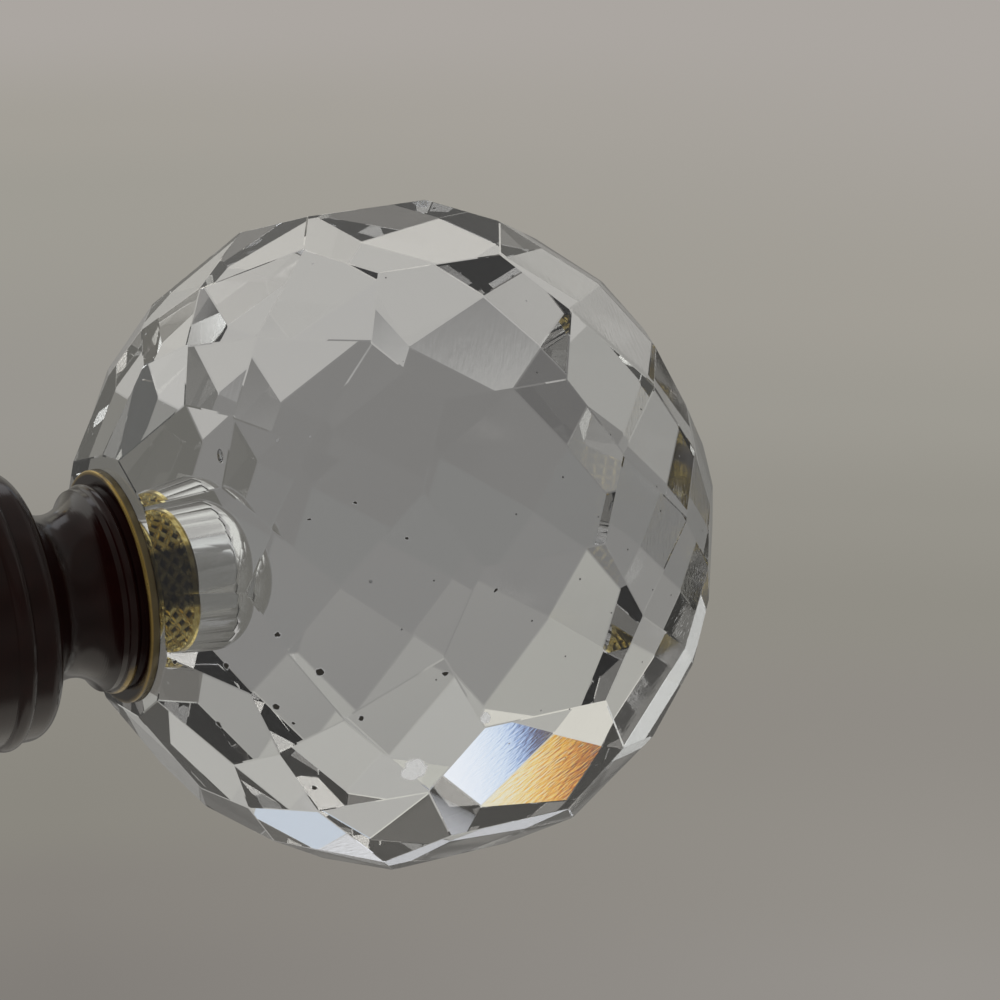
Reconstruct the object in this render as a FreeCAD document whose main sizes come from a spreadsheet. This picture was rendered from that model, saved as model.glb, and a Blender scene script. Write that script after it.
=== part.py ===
import FreeCAD, Part
import math
import os
import Sketcher

# Curtain pole finial: a cut-glass ball, held by a screw against a turned brass pole socket.
# X runs along the pole. The pole comes from -X and its end seats at the origin, on the
# socket's floor. The ball is at +X. Sizes are in millimetres and angles in degrees.

SIZES = {
    # The glass ball
    "facets_round": 13,  # facets in each row round the ball
    "girdle_across": 57.2,  # twice the way from the axis to a girdle facet
    "girdle_edge": 11.7,  # length of the edges between girdle facets
    "row_b_angle": 65.4,  # normal of row B, from the pole's axis
    "row_c_angle": 56.2,  # normal of row C, from the pole's axis
    "row_d_angle": 44.6,  # normal of row D, from the pole's axis
    "row_e_angle": 32.7,  # normal of row E, from the pole's axis
    "star_angle": 23.6,  # normal of the star facets at the far end
    "star_radius": 8.2,  # reach of the star's points from the axis
    "seat_height": 25.8,  # ball's centre to its flat seat
    "end_height": 28.8,  # ball's centre to its far flat
    "rough_allowance": 2.5,  # glass of the round blank outside the girdle facets
    "meet_overcut": 0.04,  # how far a row is ground past the meeting points
    "ball_turn": 19.5,  # how far the ball is turned on its screw
    # The bore in the glass and the plug in it
    "plug_bore_dia": 11.4,  # bore in the glass
    "plug_bore_depth": 16.0,  # seat to the floor of the bore
    "plug_bore_corner": 4.4,  # round corner between the bore's wall and its floor
    "plug_bore_break": 0.5,  # ground edge at the bore's mouth
    "cement_gap": 0.12,  # cement round the plug
    "plug_length": 8.0,  # length of the plug
    "plug_rim": 0.5,  # plain rim at the plug's inner end
    "knurls_round": 28,  # knurl cuts round the plug
    "knurl_depth": 0.45,  # depth of a knurl cut
    "knurl_rings": 5,  # ring cuts along the plug
    # The turned socket
    "pole_dia": 19.0,  # pole that the socket slides over
    "pole_clearance": 0.4,  # socket's bore over the pole, on the diameter
    "socket_depth": 24.0,  # mouth of the socket to its floor
    "socket_wall": 2.0,  # wall of the socket
    "mouth_break": 0.6,  # chamfer inside the mouth
    "floor_thickness": 2.4,  # floor of the socket to the shoulder of the barrel
    "shoulder_round": 1.6,  # rounding of that shoulder
    "neck_length": 12.0,  # floor of the socket to the glass
    "neck_dia": 17.6,  # neck before its waist is turned
    "waist_dia": 14.2,  # thinnest part of the neck
    "waist_width": 5.6,  # length of the waist's hollow
    "flange_dia": 20.2,  # flange on the glass
    "flange_edge": 0.8,  # thickness of the flange's edge
    "flange_round": 0.25,  # rounding of the flange's edge
    "bead_radius": 0.6,  # bead behind the flange
    "bead_stand": 0.35,  # how far the bead stands out of the neck
    "bead_gap": 0.25,  # bead to the flange
    "ring_radius": 0.9,  # half-round rings on the barrel
    "ring_stand": 0.5,  # how far those rings stand out of the barrel
    "ring_inset": 1.2,  # middle of a ring from the end of the barrel's plain length
    # The screws
    "screw_dia": 6.0,  # centre screw
    "screw_head_dia": 10.0,  # its cheese head
    "screw_head_height": 3.6,  # height of its head
    "head_sink": 0.6,  # how far the head lies below the socket's floor
    "screw_play": 0.15,  # clearance hole round the shank
    "head_play": 0.5,  # recess round the head
    "thread_play": 0.05,  # tapped hole round a screw
    "screw_end_gap": 0.6,  # end of the screw to the end of the plug
    "slot_width": 1.2,  # driver slot of the centre screw
    "slot_depth": 1.4,  # depth of that slot
    "grub_dia": 4.0,  # grub screw
    "grub_stand": 0.7,  # how far the grub screw stands out of the barrel
    "grub_tip_gap": 0.05,  # tip of the grub screw to the socket's bore
    "grub_from_mouth": 10.0,  # axis of the grub screw from the mouth
    "grub_slot_width": 0.7,  # driver slot of the grub screw
    "grub_slot_depth": 0.9,  # depth of that slot
    "screw_break": 0.4,  # chamfer at the ends of the screws
}

doc = FreeCAD.newDocument("finial")
sizes = doc.addObject("Spreadsheet::Sheet", "Sizes")
meets = doc.addObject("Spreadsheet::Sheet", "Meets")
rows_used = {sizes: 0, meets: 0}


def fill_row(sheet, alias, text):
    rows_used[sheet] += 1
    row = rows_used[sheet]
    sheet.set(f"A{row}", alias.replace("_", " "))
    sheet.set(f"B{row}", text)
    sheet.setAlias(f"B{row}", alias)


def worked_out(alias, formula):
    fill_row(meets, alias, "=" + formula)


for alias, number in SIZES.items():
    fill_row(sizes, alias, str(number))


def angle(row):
    return f"(Sizes.{row}_angle * 1 deg)"


def row_depth(row, meet):
    reach = f"meet_{meet}_x * cos{angle(row)} + meet_{meet}_r * sin{angle(row)}"
    worked_out(f"{row}_depth", f"{reach} - Sizes.meet_overcut")


def meeting(meet, under, over):
    across = (
        f"({under}_depth * cos{angle(over)} - {over}_depth * cos{angle(under)})"
        f" / (sin{angle(under)} * cos{angle(over)}"
        f" - step_cos * sin{angle(over)} * cos{angle(under)})"
    )
    along = f"({under}_depth - meet_{meet}_r * sin{angle(under)}) / cos{angle(under)}"
    worked_out(f"meet_{meet}_r", across)
    worked_out(f"meet_{meet}_x", along)


# Rows A, C and E sit over the gaps of rows B, D and the star. Each row is ground down until
# its facets meet at the points where the two rows before it have met. A point's distances
# from the ball's centre, along the axis (x) and away from it (r), give that row's depth.
half_step = "180 deg / Sizes.facets_round"
worked_out("step_cos", f"cos({half_step})")
worked_out("row_a_depth", "Sizes.girdle_across / 2")
worked_out("meet_a_x", "Sizes.girdle_edge / 2")
worked_out("meet_a_r", "row_a_depth / step_cos")
row_depth("row_b", "a")
on_girdle = f"(row_b_depth - row_a_depth * step_cos * sin{angle('row_b')}) / cos{angle('row_b')}"
worked_out("meet_ab_r", "row_a_depth")
worked_out("meet_ab_x", on_girdle)
row_depth("row_c", "ab")
meeting("bc", "row_b", "row_c")
row_depth("row_d", "bc")
meeting("cd", "row_c", "row_d")
row_depth("row_e", "cd")
star_tip = f"(row_e_depth - Sizes.star_radius * step_cos * sin{angle('row_e')}) / cos{angle('row_e')}"
worked_out("meet_star_r", "Sizes.star_radius")
worked_out("meet_star_x", star_tip)
row_depth("star", "star")

# Radii and places that more than one piece takes
worked_out("bore_r", "(Sizes.pole_dia + Sizes.pole_clearance) / 2")
worked_out("barrel_r", "bore_r + Sizes.socket_wall")
worked_out("head_floor", "Sizes.head_sink + Sizes.screw_head_height")
worked_out("plug_bore_r", "Sizes.plug_bore_dia / 2")
worked_out("plug_r", "plug_bore_r - Sizes.cement_gap")
worked_out("ball_centre", "Sizes.neck_length + Sizes.seat_height")
doc.recompute()


def new_body(name):
    body = doc.addObject("PartDesign::Body", name)
    body.Label = name
    return body


def origin_feature(body, role):
    return next(part for part in body.Origin.OriginFeatures if part.Role == role)


ALONG = FreeCAD.Vector(1, 0, 0)
UPRIGHT = FreeCAD.Vector(0, 0, 1)


def turn_by(item, placement, axis, formula):
    """Turn an item's placement about an axis by an angle that follows the sizes."""
    some_angle = 1.0
    setattr(item, placement, FreeCAD.Placement(FreeCAD.Vector(), FreeCAD.Rotation(axis, some_angle)))
    item.setExpression(placement + ".Rotation.Angle", formula)


def new_sketch(body, name, support, turn=None):
    sketch = body.newObject("Sketcher::SketchObject", name)
    sketch.AttachmentSupport = [(support, "")]
    sketch.MapMode = "FlatFace"
    if turn:
        turn_by(sketch, "AttachmentOffset", UPRIGHT, turn)
    return sketch


def side_sketch(body, name):
    return new_sketch(body, name, origin_feature(body, "XZ_Plane"))


def bind(sketch, constraint, formula):
    index = sketch.addConstraint(constraint)
    sketch.setExpression(f"Constraints[{index}]", formula)


def hold(sketch, line, end, across, up):
    """Hold one end of a line at a distance across and up from the sketch's origin."""
    first_guess = 1.0
    if across == "0":
        sketch.addConstraint(Sketcher.Constraint("PointOnObject", line, end, -2))
    else:
        bind(sketch, Sketcher.Constraint("DistanceX", -1, 1, line, end, first_guess), across)
    if up == "0":
        sketch.addConstraint(Sketcher.Constraint("PointOnObject", line, end, -1))
    else:
        bind(sketch, Sketcher.Constraint("DistanceY", -1, 1, line, end, first_guess), up)


def outline(sketch, *corners):
    """Draw a closed outline of straight lines and hold each of its corners."""
    count = len(corners)
    turns = [2 * math.pi * index / count for index in range(count)]
    loose = [FreeCAD.Vector(math.cos(turn), math.sin(turn), 0) for turn in turns]
    for index in range(count):
        sketch.addGeometry(Part.LineSegment(loose[index], loose[(index + 1) % count]), False)
    for index in range(count):
        after = (index + 1) % count
        sketch.addConstraint(Sketcher.Constraint("Coincident", index, 2, after, 1))
    for index, (across, up) in enumerate(corners):
        hold(sketch, index, 1, across, up)


def round_outline(sketch, across, up, radius):
    """Draw a circle and hold its centre and radius."""
    circle = Part.Circle(FreeCAD.Vector(1, 1, 0), FreeCAD.Vector(0, 0, 1), 1)
    index = sketch.addGeometry(circle, False)
    hold(sketch, index, 3, across, up)
    bind(sketch, Sketcher.Constraint("Radius", index, 1.0), radius)


def turned(body, sketch):
    """Add what the sketch sweeps in one turn about the X axis."""
    before = body.Tip.Shape.Volume if body.Tip else 0
    feature = body.newObject("PartDesign::Revolution", sketch.Name + "Turned")
    feature.Profile = sketch
    feature.ReferenceAxis = (sketch, ["H_Axis"])
    feature.Angle = 360
    doc.recompute()
    if feature.Shape.Volume <= before:
        raise ValueError(f"{feature.Name} adds nothing")
    return feature


def must_cut(feature, before):
    if feature.Shape.Volume >= before:
        raise ValueError(f"{feature.Name} cuts nothing")
    return feature


def turned_away(body, sketch):
    """Cut what the sketch sweeps in one turn about the X axis."""
    before = body.Tip.Shape.Volume
    feature = body.newObject("PartDesign::Groove", sketch.Name + "Cut")
    feature.Profile = sketch
    feature.ReferenceAxis = (sketch, ["H_Axis"])
    feature.Angle = 360
    doc.recompute()
    return must_cut(feature, before)


def cut_across(body, sketch, length):
    """Cut the sketch's outline to both sides of its plane, over a length in all."""
    before = body.Tip.Shape.Volume
    feature = body.newObject("PartDesign::Pocket", sketch.Name + "Cut")
    feature.Profile = sketch
    feature.Midplane = True
    feature.setExpression("Length", length)
    doc.recompute()
    return must_cut(feature, before)


def repeat_round(body, feature, count):
    before = body.Tip.Shape.Volume
    pattern = body.newObject("PartDesign::PolarPattern", feature.Name + "Round")
    pattern.Originals = [feature]
    pattern.Axis = (origin_feature(body, "X_Axis"), [""])
    pattern.Angle = 360
    pattern.setExpression("Occurrences", count)
    body.Tip = pattern
    doc.recompute()
    return must_cut(pattern, before)


# Glass ball
ball = new_body("glass_ball")
turn_by(ball, "Placement", ALONG, "Sizes.ball_turn * 1 deg")
ball.setExpression("Placement.Base.x", "Meets.ball_centre")

rough = side_sketch(ball, "RoughBall")
rough.addGeometry(Part.ArcOfCircle(Part.Circle(), 0, math.pi), False)
rough.addGeometry(Part.LineSegment(FreeCAD.Vector(-1, 0, 0), FreeCAD.Vector(1, 0, 0)), False)
rough.addConstraint(Sketcher.Constraint("Coincident", 0, 3, -1, 1))
rough.addConstraint(Sketcher.Constraint("Coincident", 0, 2, 1, 1))
rough.addConstraint(Sketcher.Constraint("Coincident", 1, 2, 0, 1))
rough.addConstraint(Sketcher.Constraint("PointOnObject", 0, 1, -1))
rough.addConstraint(Sketcher.Constraint("PointOnObject", 0, 2, -1))
bind(rough, Sketcher.Constraint("Radius", 0, 1.0), "Meets.row_a_depth + Sizes.rough_allowance")
turned(ball, rough)

# Plane through the axis, turned half a step, for the rows that sit over the gaps
over_gaps = ball.newObject("PartDesign::Plane", "OverGaps")
over_gaps.AttachmentSupport = [(origin_feature(ball, "XZ_Plane"), "")]
over_gaps.MapMode = "FlatFace"
turn_by(over_gaps, "AttachmentOffset", ALONG, half_step)
in_line = origin_feature(ball, "XZ_Plane")


def flat_cut(name, support, depth, turn):
    """Grind away all glass beyond one flat, at a depth from the ball's centre."""
    sketch = new_sketch(ball, name, support, turn)
    wide = "Sizes.girdle_across / 2"
    beyond = f"{depth} + Sizes.girdle_across / 4"
    outline(sketch, (depth, "-" + wide), (beyond, "-" + wide), (beyond, wide), (depth, wide))
    return cut_across(ball, sketch, "Sizes.girdle_across")


def facet_row(name, support, depth, turn):
    repeat_round(ball, flat_cut(name, support, depth, turn), "Sizes.facets_round")


facet_row("RowA", over_gaps, "Meets.row_a_depth", "90 deg")
for row, support in (("b", in_line), ("c", over_gaps), ("d", in_line), ("e", over_gaps)):
    depth = f"Meets.row_{row}_depth"
    facet_row(f"SeatRow{row.upper()}", support, depth, f"180 deg - {angle('row_' + row)}")
    facet_row(f"EndRow{row.upper()}", support, depth, angle("row_" + row))
facet_row("Star", in_line, "Meets.star_depth", angle("star"))
flat_cut("Seat", in_line, "Sizes.seat_height", "180 deg")
flat_cut("End", in_line, "Sizes.end_height", None)

# Bore from the seat towards the centre, with a round corner to its floor
bore = new_sketch(ball, "PlugBore", in_line, "180 deg")
bore_floor = "Sizes.seat_height - Sizes.plug_bore_depth"
corner_start = f"{bore_floor} + Sizes.plug_bore_corner"
outline(
    bore,
    (corner_start, "0"),
    ("Sizes.seat_height + Sizes.plug_bore_break", "0"),
    ("Sizes.seat_height + Sizes.plug_bore_break", "Meets.plug_bore_r + 2 * Sizes.plug_bore_break"),
    ("Sizes.seat_height - Sizes.plug_bore_break", "Meets.plug_bore_r"),
    (corner_start, "Meets.plug_bore_r"),
)
turned_away(ball, bore)
nose = new_sketch(ball, "BoreNose", in_line, "180 deg")
nose_points = [(-1, 0), (-1, -1), (0, -1), (0, 1)]
nose.addGeometry(Part.ArcOfCircle(Part.Circle(), math.pi / 2, math.pi), False)
for (across, up), (next_across, next_up) in zip(nose_points, nose_points[1:]):
    line_start = FreeCAD.Vector(across, up, 0)
    nose.addGeometry(Part.LineSegment(line_start, FreeCAD.Vector(next_across, next_up, 0)), False)
for index in range(len(nose_points)):
    after = (index + 1) % len(nose_points)
    nose.addConstraint(Sketcher.Constraint("Coincident", index, 2, after, 1))
nose.addConstraint(Sketcher.Constraint("Horizontal", 0, 2, 0, 3))
nose.addConstraint(Sketcher.Constraint("Vertical", 0, 1, 0, 3))
nose.addConstraint(Sketcher.Constraint("Vertical", 1))
nose.addConstraint(Sketcher.Constraint("Vertical", 3))
nose.addConstraint(Sketcher.Constraint("PointOnObject", 2, 1, -1))
nose.addConstraint(Sketcher.Constraint("PointOnObject", 2, 2, -1))
bind(nose, Sketcher.Constraint("Radius", 0, 1.0), "Sizes.plug_bore_corner")
bind(nose, Sketcher.Constraint("DistanceX", -1, 1, 0, 3, 1.0), corner_start)
bind(nose, Sketcher.Constraint("DistanceY", -1, 1, 0, 3, 1.0), "Meets.plug_bore_r - Sizes.plug_bore_corner")
turned_away(ball, nose)

# Pole socket, turned from one bar: barrel, neck and flange in one
socket = new_body("pole_socket")
bar = side_sketch(socket, "Bar")
outline(
    bar,
    ("-Sizes.socket_depth", "0"),
    ("-Sizes.socket_depth", "Meets.barrel_r"),
    ("Sizes.floor_thickness", "Meets.barrel_r"),
    ("Sizes.floor_thickness", "Sizes.neck_dia / 2"),
    ("Sizes.neck_length - Sizes.flange_edge", "Sizes.neck_dia / 2"),
    ("Sizes.neck_length - Sizes.flange_edge", "Sizes.flange_dia / 2"),
    ("Sizes.neck_length", "Sizes.flange_dia / 2"),
    ("Sizes.neck_length", "0"),
)
turned(socket, bar)


def round_off(body, name, place, radius, rounding):
    """Round the edge that runs round the axis at a place along it and a radius."""
    near = 0.001
    rings = [
        f"Edge{number}"
        for number, edge in enumerate(body.Tip.Shape.Edges, 1)
        if isinstance(edge.Curve, Part.Circle)
        and abs(edge.Curve.Radius - radius) < near
        and abs(edge.Curve.Center.x - place) < near
    ]
    solid = body.Tip
    feature = body.newObject("PartDesign::Fillet", name)
    feature.Base = (solid, rings)
    feature.setExpression("Radius", rounding)
    doc.recompute()
    return must_cut(feature, solid.Shape.Volume)


round_off(socket, "ShoulderRound", sizes.floor_thickness, meets.barrel_r, "Sizes.shoulder_round")
flange_back = sizes.neck_length - sizes.flange_edge
round_off(socket, "FlangeRound", flange_back, sizes.flange_dia / 2, "Sizes.flange_round")

# The waist is a hollow turned with a round tool, midway between shoulder and bead
waist = side_sketch(socket, "Waist")
deep = "(Sizes.neck_dia - Sizes.waist_dia) / 2"
tool = f"((Sizes.waist_width / 2) ^ 2 / ({deep}) + ({deep})) / 2"
bead_place = "Sizes.neck_length - Sizes.flange_edge - Sizes.bead_gap - Sizes.bead_radius"
middle = f"(Sizes.floor_thickness + {bead_place} - Sizes.bead_radius) / 2"
waist.addGeometry(Part.ArcOfCircle(Part.Circle(), math.pi, 2 * math.pi), False)
waist.addGeometry(Part.LineSegment(FreeCAD.Vector(1, 0, 0), FreeCAD.Vector(-1, 0, 0)), False)
waist.addConstraint(Sketcher.Constraint("Coincident", 0, 2, 1, 1))
waist.addConstraint(Sketcher.Constraint("Coincident", 1, 2, 0, 1))
waist.addConstraint(Sketcher.Constraint("Horizontal", 1))
bind(waist, Sketcher.Constraint("DistanceX", -1, 1, 0, 3, 1.0), middle)
bind(waist, Sketcher.Constraint("DistanceY", -1, 1, 0, 3, 1.0), f"Sizes.waist_dia / 2 + {tool}")
bind(waist, Sketcher.Constraint("DistanceY", -1, 1, 1, 1, 1.0), "Sizes.neck_dia / 2")
bind(waist, Sketcher.Constraint("Radius", 0, 1.0), tool)
turned_away(socket, waist)

bead = side_sketch(socket, "Bead")
round_outline(
    bead, bead_place, "Sizes.neck_dia / 2 + Sizes.bead_stand - Sizes.bead_radius", "Sizes.bead_radius"
)
turned(socket, bead)
ring_height = "Meets.barrel_r + Sizes.ring_stand - Sizes.ring_radius"
mouth_ring = side_sketch(socket, "MouthRing")
round_outline(mouth_ring, "Sizes.ring_inset - Sizes.socket_depth", ring_height, "Sizes.ring_radius")
turned(socket, mouth_ring)
floor_ring = side_sketch(socket, "FloorRing")
round_outline(floor_ring, "-Sizes.ring_inset", ring_height, "Sizes.ring_radius")
turned(socket, floor_ring)

# Inside: the pole's bore, the recess for the screw's head and the hole for its shank
inside = side_sketch(socket, "Inside")
past_mouth = "-(Sizes.socket_depth + Sizes.mouth_break)"
past_flange = "Sizes.neck_length + Sizes.flange_edge"
outline(
    inside,
    (past_mouth, "0"),
    (past_mouth, "Meets.bore_r + 2 * Sizes.mouth_break"),
    ("Sizes.mouth_break - Sizes.socket_depth", "Meets.bore_r"),
    ("0", "Meets.bore_r"),
    ("0", "Sizes.screw_head_dia / 2 + Sizes.head_play"),
    ("Meets.head_floor", "Sizes.screw_head_dia / 2 + Sizes.head_play"),
    ("Meets.head_floor", "Sizes.screw_dia / 2 + Sizes.screw_play"),
    (past_flange, "Sizes.screw_dia / 2 + Sizes.screw_play"),
    (past_flange, "0"),
)
turned_away(socket, inside)

grub_place = "Sizes.grub_from_mouth - Sizes.socket_depth"
grub_hole = new_sketch(socket, "GrubHole", origin_feature(socket, "XY_Plane"))
round_outline(grub_hole, grub_place, "0", "Sizes.grub_dia / 2 + Sizes.thread_play")
before_hole = socket.Tip.Shape.Volume
tapped = socket.newObject("PartDesign::Pocket", "GrubHoleCut")
tapped.Profile = grub_hole
tapped.setExpression("Length", "Meets.barrel_r + Sizes.grub_stand")
doc.recompute()
must_cut(tapped, before_hole)

# Knurled plug: axial cuts and ring cuts leave rows of small pyramids, up to its plain rim
plug = new_body("bore_plug")
plug.setExpression("Placement.Base.x", "Sizes.neck_length")
bush = side_sketch(plug, "Bush")
thread = "Sizes.screw_dia / 2 + Sizes.thread_play"
outline(
    bush,
    ("0", thread),
    ("0", "Meets.plug_r"),
    ("Sizes.plug_length", "Meets.plug_r"),
    ("Sizes.plug_length", thread),
)
turned(plug, bush)
root = "Meets.plug_r - Sizes.knurl_depth"
clear = "Meets.plug_r + Sizes.cement_gap"
flare = "(Sizes.knurl_depth + Sizes.cement_gap)"
axial = new_sketch(plug, "AxialKnurl", origin_feature(plug, "YZ_Plane"))
outline(axial, ("0", root), (flare, clear), ("-" + flare, clear))
knurled = "(Sizes.plug_length - Sizes.plug_rim)"
repeat_round(plug, cut_across(plug, axial, f"2 * {knurled}"), "Sizes.knurls_round")
pitch = f"({knurled} / Sizes.knurl_rings)"
ring = side_sketch(plug, "RingKnurl")
outline(
    ring,
    (f"{pitch} / 2", root),
    (f"{pitch} / 2 + {flare}", clear),
    (f"{pitch} / 2 - {flare}", clear),
)
ring_cut = turned_away(plug, ring)
before_rings = plug.Tip.Shape.Volume
rings = plug.newObject("PartDesign::LinearPattern", "RingKnurls")
rings.Originals = [ring_cut]
rings.Direction = (origin_feature(plug, "X_Axis"), [""])
rings.setExpression("Length", f"{pitch} * (Sizes.knurl_rings - 1)")
rings.setExpression("Occurrences", "Sizes.knurl_rings")
plug.Tip = rings
doc.recompute()
must_cut(rings, before_rings)

# Centre screw: cheese head in its recess, shank through the neck into the plug
screw = new_body("centre_screw")
blank = side_sketch(screw, "ScrewBlank")
screw_end = "Sizes.neck_length + Sizes.plug_length - Sizes.screw_end_gap"
outline(
    blank,
    ("Sizes.head_sink", "0"),
    ("Sizes.head_sink", "Sizes.screw_head_dia / 2 - Sizes.screw_break"),
    ("Sizes.head_sink + Sizes.screw_break", "Sizes.screw_head_dia / 2"),
    ("Meets.head_floor", "Sizes.screw_head_dia / 2"),
    ("Meets.head_floor", "Sizes.screw_dia / 2"),
    (f"{screw_end} - Sizes.screw_break", "Sizes.screw_dia / 2"),
    (screw_end, "Sizes.screw_dia / 2 - Sizes.screw_break"),
    (screw_end, "0"),
)
turned(screw, blank)
slot = side_sketch(screw, "Slot")
outline(
    slot,
    ("Sizes.head_sink - Sizes.screw_break", "-Sizes.slot_width / 2"),
    ("Sizes.head_sink - Sizes.screw_break", "Sizes.slot_width / 2"),
    ("Sizes.head_sink + Sizes.slot_depth", "Sizes.slot_width / 2"),
    ("Sizes.head_sink + Sizes.slot_depth", "-Sizes.slot_width / 2"),
)
cut_across(screw, slot, "2 * Sizes.screw_head_dia")

# Grub screw: its point faces the pole and its slot faces down, on the underside
grub = new_body("grub_screw")
quarter_turn = 90
grub.Placement.Rotation = FreeCAD.Rotation(FreeCAD.Vector(0, 1, 0), quarter_turn)
grub.setExpression("Placement.Base.x", grub_place)
grub_tip = "Meets.bore_r + Sizes.grub_tip_gap"
grub_top = "Meets.barrel_r + Sizes.grub_stand"
stud = side_sketch(grub, "GrubBlank")
outline(
    stud,
    (grub_tip, "0"),
    (grub_tip, "Sizes.grub_dia / 2 - Sizes.screw_break"),
    (f"{grub_tip} + Sizes.screw_break", "Sizes.grub_dia / 2"),
    (f"{grub_top} - Sizes.screw_break / 2", "Sizes.grub_dia / 2"),
    (grub_top, "(Sizes.grub_dia - Sizes.screw_break) / 2"),
    (grub_top, "0"),
)
turned(grub, stud)
grub_slot = side_sketch(grub, "GrubSlot")
outline(
    grub_slot,
    (f"{grub_top} - Sizes.grub_slot_depth", "-Sizes.grub_slot_width / 2"),
    (f"{grub_top} - Sizes.grub_slot_depth", "Sizes.grub_slot_width / 2"),
    (f"{grub_top} + Sizes.screw_break", "Sizes.grub_slot_width / 2"),
    (f"{grub_top} + Sizes.screw_break", "-Sizes.grub_slot_width / 2"),
)
cut_across(grub, grub_slot, "2 * Sizes.grub_dia")

doc.recompute()
failed = [item.Name for item in doc.Objects if "Invalid" in item.State or "Error" in item.State]
if failed:
    raise ValueError(f"failed: {failed}")
pieces = [ball, plug, socket, screw, grub]
for piece in pieces:
    if piece.Shape.isNull() or not piece.Shape.isValid() or len(piece.Shape.Solids) != 1:
        raise ValueError(f"{piece.Label} is not one valid solid")
os.makedirs("parts", exist_ok=True)
for piece in pieces:
    piece.Shape.exportStep(f"parts/{piece.Label}.step")
    faces = len(piece.Shape.Faces)
    print(f"{piece.Label}: {faces} faces, {piece.Shape.Volume:.1f} mm3")
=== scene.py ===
import math

import bmesh
import bpy
from mathutils import Matrix, Vector


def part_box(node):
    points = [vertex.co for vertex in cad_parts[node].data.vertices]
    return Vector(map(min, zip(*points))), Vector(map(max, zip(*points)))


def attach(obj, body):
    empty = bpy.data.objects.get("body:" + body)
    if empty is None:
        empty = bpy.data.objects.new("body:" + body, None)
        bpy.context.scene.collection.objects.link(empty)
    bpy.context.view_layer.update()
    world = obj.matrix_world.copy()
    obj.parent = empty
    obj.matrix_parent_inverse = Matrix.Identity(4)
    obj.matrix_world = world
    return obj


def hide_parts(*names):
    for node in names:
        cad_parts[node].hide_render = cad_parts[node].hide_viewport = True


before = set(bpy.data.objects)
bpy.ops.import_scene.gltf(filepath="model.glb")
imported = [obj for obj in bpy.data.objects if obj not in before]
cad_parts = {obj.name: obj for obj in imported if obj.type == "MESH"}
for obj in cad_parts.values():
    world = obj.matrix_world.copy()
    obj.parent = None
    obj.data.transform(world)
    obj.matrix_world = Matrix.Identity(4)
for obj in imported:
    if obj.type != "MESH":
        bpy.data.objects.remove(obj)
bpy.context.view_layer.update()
scene = bpy.context.scene
scene.view_settings.view_transform = "Standard"
MM = 0.001


# Camera: a telephoto three tenths of a metre from the ball, on the pole's side of it and
# above it, as the photograph was taken.
CAMERA_LENS = 124.76
CAMERA_SENSOR = 36
CAMERA_FROM_BALL = Vector((-127.71, -260.54, 111.37)) * MM
CAMERA_HEADING = math.radians(61.974)
CAMERA_DIP = math.radians(20.456)
NEAREST_SEEN = 10 * MM
FAR_FLAT_HEIGHT = 28.8 * MM  # the ball's centre to its far flat

ball_centre = Vector((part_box("glass_ball")[1].x - FAR_FLAT_HEIGHT, 0, 0))
camera_data = bpy.data.cameras.new("camera")
camera_data.sensor_width = CAMERA_SENSOR
camera_data.lens = CAMERA_LENS
camera_data.clip_start = NEAREST_SEEN
camera = bpy.data.objects.new("camera", camera_data)
camera.location = ball_centre + CAMERA_FROM_BALL
camera.rotation_euler = (math.pi / 2 - CAMERA_DIP, 0, CAMERA_HEADING - math.pi / 2)
scene.collection.objects.link(camera)
scene.camera = camera


# Surroundings: a plain matt grey wall behind the finial. Only glass and metal also see what
# stands round it in such a room, as the glass bends it into view: the darker middle of the
# wall, the pale table below it, the windows above it and the dim room behind the camera.
def linear(hex_colour):
    """The linear colour, with an alpha of 1, of an sRGB hex value."""
    parts = [int(hex_colour[at:at + 2], 16) / 255 for at in (0, 2, 4)]
    return [p / 12.92 if p <= 0.04045 else ((p + 0.055) / 1.055) ** 2.4 for p in parts] + [1]


def add_node(tree, kind, *inputs, **settings):
    """Add a shader node and return it.

    Its inputs are given in their order, or by name with _ for a space. Each is a number, a
    vector, an sRGB hex colour, an output, or a node, which stands for its first output in
    use. None leaves an input alone. Other settings are the node's own properties."""
    node = tree.nodes.new("ShaderNode" + kind)
    names = [socket.identifier.replace(" ", "_") for socket in node.inputs]
    for name in [name for name in settings if name not in names]:
        setattr(node, name, settings.pop(name))
    sockets = dict(zip(names, node.inputs))
    given = list(zip([socket for socket in node.inputs if socket.enabled], inputs))
    given += [(sockets[name], value) for name, value in settings.items()]
    for socket, value in given:
        if isinstance(value, bpy.types.Node):
            value = next(output for output in value.outputs if output.enabled)
        if isinstance(value, bpy.types.NodeSocket):
            tree.links.new(value, socket)
        elif value is not None:
            socket.default_value = linear(value) if isinstance(value, str) else value
    return node


def within(tree, value, low, high, soft, most=1, **settings):
    """A share that is most where a value lies between two others, with soft edges."""
    half = (high - low) / 2
    off = add_node(tree, "Math", value, (low + high) / 2, operation="SUBTRACT")
    off = add_node(tree, "Math", off, operation="ABSOLUTE")
    return add_node(tree, "MapRange", off, half - soft, half + soft, most, 0, **settings)


world = bpy.data.worlds.new("studio")
world.use_nodes = True
scene.world = world
room = world.node_tree
room.nodes.clear()

# The way that light comes from: how far above level, and how far round from the pole's axis
way = add_node(room, "SeparateXYZ", add_node(room, "TexCoord").outputs["Generated"]).outputs
rise = add_node(room, "Math", way["Z"], operation="ARCSINE")
swing = add_node(room, "Math", way["Y"], way["X"], operation="ARCTAN2")


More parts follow.
